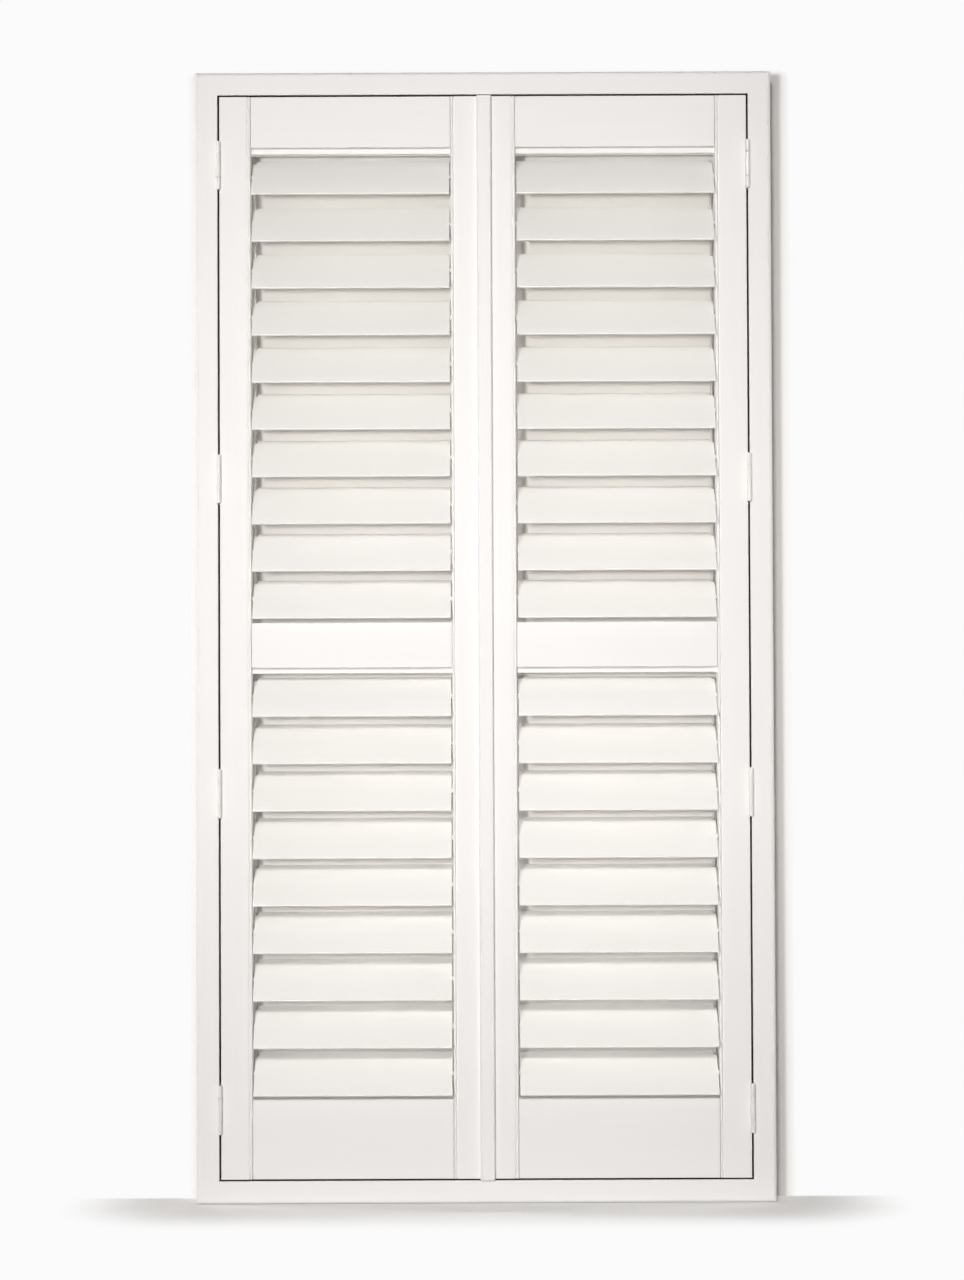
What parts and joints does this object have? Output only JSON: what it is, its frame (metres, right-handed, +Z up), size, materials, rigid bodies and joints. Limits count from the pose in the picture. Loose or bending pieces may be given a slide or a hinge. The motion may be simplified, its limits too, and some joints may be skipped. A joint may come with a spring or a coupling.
{
  "type": "louvred shutters",
  "caption": "Framed pair of white hinged shutters with tilting louvres, hidden tilt bars, beaded stiles and a cover strip on the meeting line.",
  "frame": {"origin": "centre of the sill's underside", "axes": "+Z up along the jambs, +X to the right and -Y out of the front face, towards the room"},
  "size_m": [0.935, 0.0821, 1.8303],
  "materials": {
    "painted_frame": "satin white paint",
    "painted_panel": "satin white paint",
    "painted_louvre": "satin white paint",
    "painted_hinge": "white enamelled steel",
    "tilt_bar": "brushed"
  },
  "bodies": {
    "frame": {"frame_head": "painted_frame", "frame_sill": "painted_frame", "frame_jamb_left": "painted_frame", "frame_jamb_right": "painted_frame", "frame_hinge_leaves": "painted_hinge"},
    "left_panel": {"left_hinge_stile": "painted_panel", "left_meeting_stile": "painted_panel", "left_top_rail": "painted_panel", "left_mid_rail": "painted_panel", "left_bottom_rail": "painted_panel", "left_hinge_leaves": "painted_hinge", "cover_strip": "painted_panel"},
    "right_panel": {"right_hinge_stile": "painted_panel", "right_meeting_stile": "painted_panel", "right_top_rail": "painted_panel", "right_mid_rail": "painted_panel", "right_bottom_rail": "painted_panel", "right_hinge_leaves": "painted_hinge"},
    "left_louvre_01": {"left_louvre_01": "painted_louvre"},
    "left_louvre_02": {"left_louvre_02": "painted_louvre"},
    "left_louvre_03": {"left_louvre_03": "painted_louvre"},
    "left_louvre_04": {"left_louvre_04": "painted_louvre"},
    "left_louvre_05": {"left_louvre_05": "painted_louvre"},
    "left_louvre_06": {"left_louvre_06": "painted_louvre"},
    "left_louvre_07": {"left_louvre_07": "painted_louvre"},
    "left_louvre_08": {"left_louvre_08": "painted_louvre"},
    "left_louvre_09": {"left_louvre_09": "painted_louvre"},
    "left_louvre_10": {"left_louvre_10": "painted_louvre"},
    "left_louvre_11": {"left_louvre_11": "painted_louvre"},
    "left_louvre_12": {"left_louvre_12": "painted_louvre"},
    "left_louvre_13": {"left_louvre_13": "painted_louvre"},
    "left_louvre_14": {"left_louvre_14": "painted_louvre"},
    "left_louvre_15": {"left_louvre_15": "painted_louvre"},
    "left_louvre_16": {"left_louvre_16": "painted_louvre"},
    "left_louvre_17": {"left_louvre_17": "painted_louvre"},
    "left_louvre_18": {"left_louvre_18": "painted_louvre"},
    "left_louvre_19": {"left_louvre_19": "painted_louvre"},
    "left_upper_tilt_bar": {"left_upper_tilt_bar": "tilt_bar"},
    "left_lower_tilt_bar": {"left_lower_tilt_bar": "tilt_bar"},
    "right_louvre_01": {"right_louvre_01": "painted_louvre"},
    "right_louvre_02": {"right_louvre_02": "painted_louvre"},
    "right_louvre_03": {"right_louvre_03": "painted_louvre"},
    "right_louvre_04": {"right_louvre_04": "painted_louvre"},
    "right_louvre_05": {"right_louvre_05": "painted_louvre"},
    "right_louvre_06": {"right_louvre_06": "painted_louvre"},
    "right_louvre_07": {"right_louvre_07": "painted_louvre"},
    "right_louvre_08": {"right_louvre_08": "painted_louvre"},
    "right_louvre_09": {"right_louvre_09": "painted_louvre"},
    "right_louvre_10": {"right_louvre_10": "painted_louvre"},
    "right_louvre_11": {"right_louvre_11": "painted_louvre"},
    "right_louvre_12": {"right_louvre_12": "painted_louvre"},
    "right_louvre_13": {"right_louvre_13": "painted_louvre"},
    "right_louvre_14": {"right_louvre_14": "painted_louvre"},
    "right_louvre_15": {"right_louvre_15": "painted_louvre"},
    "right_louvre_16": {"right_louvre_16": "painted_louvre"},
    "right_louvre_17": {"right_louvre_17": "painted_louvre"},
    "right_louvre_18": {"right_louvre_18": "painted_louvre"},
    "right_louvre_19": {"right_louvre_19": "painted_louvre"},
    "right_upper_tilt_bar": {"right_upper_tilt_bar": "tilt_bar"},
    "right_lower_tilt_bar": {"right_lower_tilt_bar": "tilt_bar"}
  },
  "joints": [
    {"name": "left_panel_swing", "type": "hinge", "parent": "frame", "child": "left_panel", "pos_m": [-0.429, -0.03625, 0.91515], "axis": [0, 0, -1], "range_deg": [0, 170]},
    {"name": "right_panel_swing", "type": "hinge", "parent": "frame", "child": "right_panel", "pos_m": [0.429, -0.03625, 0.91515], "axis": [0, 0, 1], "range_deg": [0, 170]},
    {"name": "left_louvre_01_tilt", "type": "hinge", "parent": "left_panel", "child": "left_louvre_01", "pos_m": [-0.2145, -0.018, 1.6602], "axis": [1, 0, 0], "range_deg": [-75, 18]},
    {"name": "left_louvre_02_tilt", "type": "hinge", "parent": "left_panel", "child": "left_louvre_02", "pos_m": [-0.2145, -0.018, 1.584], "axis": [1, 0, 0], "range_deg": [-75, 18]},
    {"name": "left_louvre_03_tilt", "type": "hinge", "parent": "left_panel", "child": "left_louvre_03", "pos_m": [-0.2145, -0.018, 1.5078], "axis": [1, 0, 0], "range_deg": [-75, 18]},
    {"name": "left_louvre_04_tilt", "type": "hinge", "parent": "left_panel", "child": "left_louvre_04", "pos_m": [-0.2145, -0.018, 1.4316], "axis": [1, 0, 0], "range_deg": [-75, 18]},
    {"name": "left_louvre_05_tilt", "type": "hinge", "parent": "left_panel", "child": "left_louvre_05", "pos_m": [-0.2145, -0.018, 1.3554], "axis": [1, 0, 0], "range_deg": [-75, 18]},
    {"name": "left_louvre_06_tilt", "type": "hinge", "parent": "left_panel", "child": "left_louvre_06", "pos_m": [-0.2145, -0.018, 1.2792], "axis": [1, 0, 0], "range_deg": [-75, 18]},
    {"name": "left_louvre_07_tilt", "type": "hinge", "parent": "left_panel", "child": "left_louvre_07", "pos_m": [-0.2145, -0.018, 1.203], "axis": [1, 0, 0], "range_deg": [-75, 18]},
    {"name": "left_louvre_08_tilt", "type": "hinge", "parent": "left_panel", "child": "left_louvre_08", "pos_m": [-0.2145, -0.018, 1.1268], "axis": [1, 0, 0], "range_deg": [-75, 18]},
    {"name": "left_louvre_09_tilt", "type": "hinge", "parent": "left_panel", "child": "left_louvre_09", "pos_m": [-0.2145, -0.018, 1.0506], "axis": [1, 0, 0], "range_deg": [-75, 18]},
    {"name": "left_louvre_10_tilt", "type": "hinge", "parent": "left_panel", "child": "left_louvre_10", "pos_m": [-0.2145, -0.018, 0.9744], "axis": [1, 0, 0], "range_deg": [-75, 18]},
    {"name": "left_louvre_11_tilt", "type": "hinge", "parent": "left_panel", "child": "left_louvre_11", "pos_m": [-0.2145, -0.018, 0.8162], "axis": [1, 0, 0], "range_deg": [-75, 18]},
    {"name": "left_louvre_12_tilt", "type": "hinge", "parent": "left_panel", "child": "left_louvre_12", "pos_m": [-0.2145, -0.018, 0.74], "axis": [1, 0, 0], "range_deg": [-75, 18]},
    {"name": "left_louvre_13_tilt", "type": "hinge", "parent": "left_panel", "child": "left_louvre_13", "pos_m": [-0.2145, -0.018, 0.6638], "axis": [1, 0, 0], "range_deg": [-75, 18]},
    {"name": "left_louvre_14_tilt", "type": "hinge", "parent": "left_panel", "child": "left_louvre_14", "pos_m": [-0.2145, -0.018, 0.5876], "axis": [1, 0, 0], "range_deg": [-75, 18]},
    {"name": "left_louvre_15_tilt", "type": "hinge", "parent": "left_panel", "child": "left_louvre_15", "pos_m": [-0.2145, -0.018, 0.5114], "axis": [1, 0, 0], "range_deg": [-75, 18]},
    {"name": "left_louvre_16_tilt", "type": "hinge", "parent": "left_panel", "child": "left_louvre_16", "pos_m": [-0.2145, -0.018, 0.4352], "axis": [1, 0, 0], "range_deg": [-75, 18]},
    {"name": "left_louvre_17_tilt", "type": "hinge", "parent": "left_panel", "child": "left_louvre_17", "pos_m": [-0.2145, -0.018, 0.359], "axis": [1, 0, 0], "range_deg": [-75, 18]},
    {"name": "left_louvre_18_tilt", "type": "hinge", "parent": "left_panel", "child": "left_louvre_18", "pos_m": [-0.2145, -0.018, 0.2828], "axis": [1, 0, 0], "range_deg": [-75, 18]},
    {"name": "left_louvre_19_tilt", "type": "hinge", "parent": "left_panel", "child": "left_louvre_19", "pos_m": [-0.2145, -0.018, 0.2066], "axis": [1, 0, 0], "range_deg": [-75, 18]},
    {"name": "left_upper_tilt_bar_link", "type": "hinge", "parent": "left_louvre_01", "child": "left_upper_tilt_bar", "pos_m": [-0.2145, 0.02089, 1.68636], "axis": [1, 0, 0], "range_deg": [-18, 75]},
    {"name": "left_lower_tilt_bar_link", "type": "hinge", "parent": "left_louvre_11", "child": "left_lower_tilt_bar", "pos_m": [-0.2145, 0.02089, 0.84236], "axis": [1, 0, 0], "range_deg": [-18, 75]},
    {"name": "right_louvre_01_tilt", "type": "hinge", "parent": "right_panel", "child": "right_louvre_01", "pos_m": [0.2145, -0.018, 1.6602], "axis": [1, 0, 0], "range_deg": [-75, 18]},
    {"name": "right_louvre_02_tilt", "type": "hinge", "parent": "right_panel", "child": "right_louvre_02", "pos_m": [0.2145, -0.018, 1.584], "axis": [1, 0, 0], "range_deg": [-75, 18]},
    {"name": "right_louvre_03_tilt", "type": "hinge", "parent": "right_panel", "child": "right_louvre_03", "pos_m": [0.2145, -0.018, 1.5078], "axis": [1, 0, 0], "range_deg": [-75, 18]},
    {"name": "right_louvre_04_tilt", "type": "hinge", "parent": "right_panel", "child": "right_louvre_04", "pos_m": [0.2145, -0.018, 1.4316], "axis": [1, 0, 0], "range_deg": [-75, 18]},
    {"name": "right_louvre_05_tilt", "type": "hinge", "parent": "right_panel", "child": "right_louvre_05", "pos_m": [0.2145, -0.018, 1.3554], "axis": [1, 0, 0], "range_deg": [-75, 18]},
    {"name": "right_louvre_06_tilt", "type": "hinge", "parent": "right_panel", "child": "right_louvre_06", "pos_m": [0.2145, -0.018, 1.2792], "axis": [1, 0, 0], "range_deg": [-75, 18]},
    {"name": "right_louvre_07_tilt", "type": "hinge", "parent": "right_panel", "child": "right_louvre_07", "pos_m": [0.2145, -0.018, 1.203], "axis": [1, 0, 0], "range_deg": [-75, 18]},
    {"name": "right_louvre_08_tilt", "type": "hinge", "parent": "right_panel", "child": "right_louvre_08", "pos_m": [0.2145, -0.018, 1.1268], "axis": [1, 0, 0], "range_deg": [-75, 18]},
    {"name": "right_louvre_09_tilt", "type": "hinge", "parent": "right_panel", "child": "right_louvre_09", "pos_m": [0.2145, -0.018, 1.0506], "axis": [1, 0, 0], "range_deg": [-75, 18]},
    {"name": "right_louvre_10_tilt", "type": "hinge", "parent": "right_panel", "child": "right_louvre_10", "pos_m": [0.2145, -0.018, 0.9744], "axis": [1, 0, 0], "range_deg": [-75, 18]},
    {"name": "right_louvre_11_tilt", "type": "hinge", "parent": "right_panel", "child": "right_louvre_11", "pos_m": [0.2145, -0.018, 0.8162], "axis": [1, 0, 0], "range_deg": [-75, 18]},
    {"name": "right_louvre_12_tilt", "type": "hinge", "parent": "right_panel", "child": "right_louvre_12", "pos_m": [0.2145, -0.018, 0.74], "axis": [1, 0, 0], "range_deg": [-75, 18]},
    {"name": "right_louvre_13_tilt", "type": "hinge", "parent": "right_panel", "child": "right_louvre_13", "pos_m": [0.2145, -0.018, 0.6638], "axis": [1, 0, 0], "range_deg": [-75, 18]},
    {"name": "right_louvre_14_tilt", "type": "hinge", "parent": "right_panel", "child": "right_louvre_14", "pos_m": [0.2145, -0.018, 0.5876], "axis": [1, 0, 0], "range_deg": [-75, 18]},
    {"name": "right_louvre_15_tilt", "type": "hinge", "parent": "right_panel", "child": "right_louvre_15", "pos_m": [0.2145, -0.018, 0.5114], "axis": [1, 0, 0], "range_deg": [-75, 18]},
    {"name": "right_louvre_16_tilt", "type": "hinge", "parent": "right_panel", "child": "right_louvre_16", "pos_m": [0.2145, -0.018, 0.4352], "axis": [1, 0, 0], "range_deg": [-75, 18]},
    {"name": "right_louvre_17_tilt", "type": "hinge", "parent": "right_panel", "child": "right_louvre_17", "pos_m": [0.2145, -0.018, 0.359], "axis": [1, 0, 0], "range_deg": [-75, 18]},
    {"name": "right_louvre_18_tilt", "type": "hinge", "parent": "right_panel", "child": "right_louvre_18", "pos_m": [0.2145, -0.018, 0.2828], "axis": [1, 0, 0], "range_deg": [-75, 18]},
    {"name": "right_louvre_19_tilt", "type": "hinge", "parent": "right_panel", "child": "right_louvre_19", "pos_m": [0.2145, -0.018, 0.2066], "axis": [1, 0, 0], "range_deg": [-75, 18]},
    {"name": "right_upper_tilt_bar_link", "type": "hinge", "parent": "right_louvre_01", "child": "right_upper_tilt_bar", "pos_m": [0.2145, 0.02089, 1.68636], "axis": [1, 0, 0], "range_deg": [-18, 75]},
    {"name": "right_lower_tilt_bar_link", "type": "hinge", "parent": "right_louvre_11", "child": "right_lower_tilt_bar", "pos_m": [0.2145, 0.02089, 0.84236], "axis": [1, 0, 0], "range_deg": [-18, 75]}
  ],
  "couplings": [
    {"joint": "right_panel_swing", "follows": "left_panel_swing", "ratio": 1},
    {"joint": "left_upper_tilt_bar_link", "follows": "left_louvre_01_tilt", "ratio": -1},
    {"joint": "left_louvre_02_tilt", "follows": "left_louvre_01_tilt", "ratio": 1},
    {"joint": "left_louvre_03_tilt", "follows": "left_louvre_01_tilt", "ratio": 1},
    {"joint": "left_louvre_04_tilt", "follows": "left_louvre_01_tilt", "ratio": 1},
    {"joint": "left_louvre_05_tilt", "follows": "left_louvre_01_tilt", "ratio": 1},
    {"joint": "left_louvre_06_tilt", "follows": "left_louvre_01_tilt", "ratio": 1},
    {"joint": "left_louvre_07_tilt", "follows": "left_louvre_01_tilt", "ratio": 1},
    {"joint": "left_louvre_08_tilt", "follows": "left_louvre_01_tilt", "ratio": 1},
    {"joint": "left_louvre_09_tilt", "follows": "left_louvre_01_tilt", "ratio": 1},
    {"joint": "left_louvre_10_tilt", "follows": "left_louvre_01_tilt", "ratio": 1},
    {"joint": "left_lower_tilt_bar_link", "follows": "left_louvre_11_tilt", "ratio": -1},
    {"joint": "left_louvre_12_tilt", "follows": "left_louvre_11_tilt", "ratio": 1},
    {"joint": "left_louvre_13_tilt", "follows": "left_louvre_11_tilt", "ratio": 1},
    {"joint": "left_louvre_14_tilt", "follows": "left_louvre_11_tilt", "ratio": 1},
    {"joint": "left_louvre_15_tilt", "follows": "left_louvre_11_tilt", "ratio": 1},
    {"joint": "left_louvre_16_tilt", "follows": "left_louvre_11_tilt", "ratio": 1},
    {"joint": "left_louvre_17_tilt", "follows": "left_louvre_11_tilt", "ratio": 1},
    {"joint": "left_louvre_18_tilt", "follows": "left_louvre_11_tilt", "ratio": 1},
    {"joint": "left_louvre_19_tilt", "follows": "left_louvre_11_tilt", "ratio": 1},
    {"joint": "right_upper_tilt_bar_link", "follows": "right_louvre_01_tilt", "ratio": -1},
    {"joint": "right_louvre_02_tilt", "follows": "right_louvre_01_tilt", "ratio": 1},
    {"joint": "right_louvre_03_tilt", "follows": "right_louvre_01_tilt", "ratio": 1},
    {"joint": "right_louvre_04_tilt", "follows": "right_louvre_01_tilt", "ratio": 1},
    {"joint": "right_louvre_05_tilt", "follows": "right_louvre_01_tilt", "ratio": 1},
    {"joint": "right_louvre_06_tilt", "follows": "right_louvre_01_tilt", "ratio": 1},
    {"joint": "right_louvre_07_tilt", "follows": "right_louvre_01_tilt", "ratio": 1},
    {"joint": "right_louvre_08_tilt", "follows": "right_louvre_01_tilt", "ratio": 1},
    {"joint": "right_louvre_09_tilt", "follows": "right_louvre_01_tilt", "ratio": 1},
    {"joint": "right_louvre_10_tilt", "follows": "right_louvre_01_tilt", "ratio": 1},
    {"joint": "right_lower_tilt_bar_link", "follows": "right_louvre_11_tilt", "ratio": -1},
    {"joint": "right_louvre_12_tilt", "follows": "right_louvre_11_tilt", "ratio": 1},
    {"joint": "right_louvre_13_tilt", "follows": "right_louvre_11_tilt", "ratio": 1},
    {"joint": "right_louvre_14_tilt", "follows": "right_louvre_11_tilt", "ratio": 1},
    {"joint": "right_louvre_15_tilt", "follows": "right_louvre_11_tilt", "ratio": 1},
    {"joint": "right_louvre_16_tilt", "follows": "right_louvre_11_tilt", "ratio": 1},
    {"joint": "right_louvre_17_tilt", "follows": "right_louvre_11_tilt", "ratio": 1},
    {"joint": "right_louvre_18_tilt", "follows": "right_louvre_11_tilt", "ratio": 1},
    {"joint": "right_louvre_19_tilt", "follows": "right_louvre_11_tilt", "ratio": 1}
  ]
}
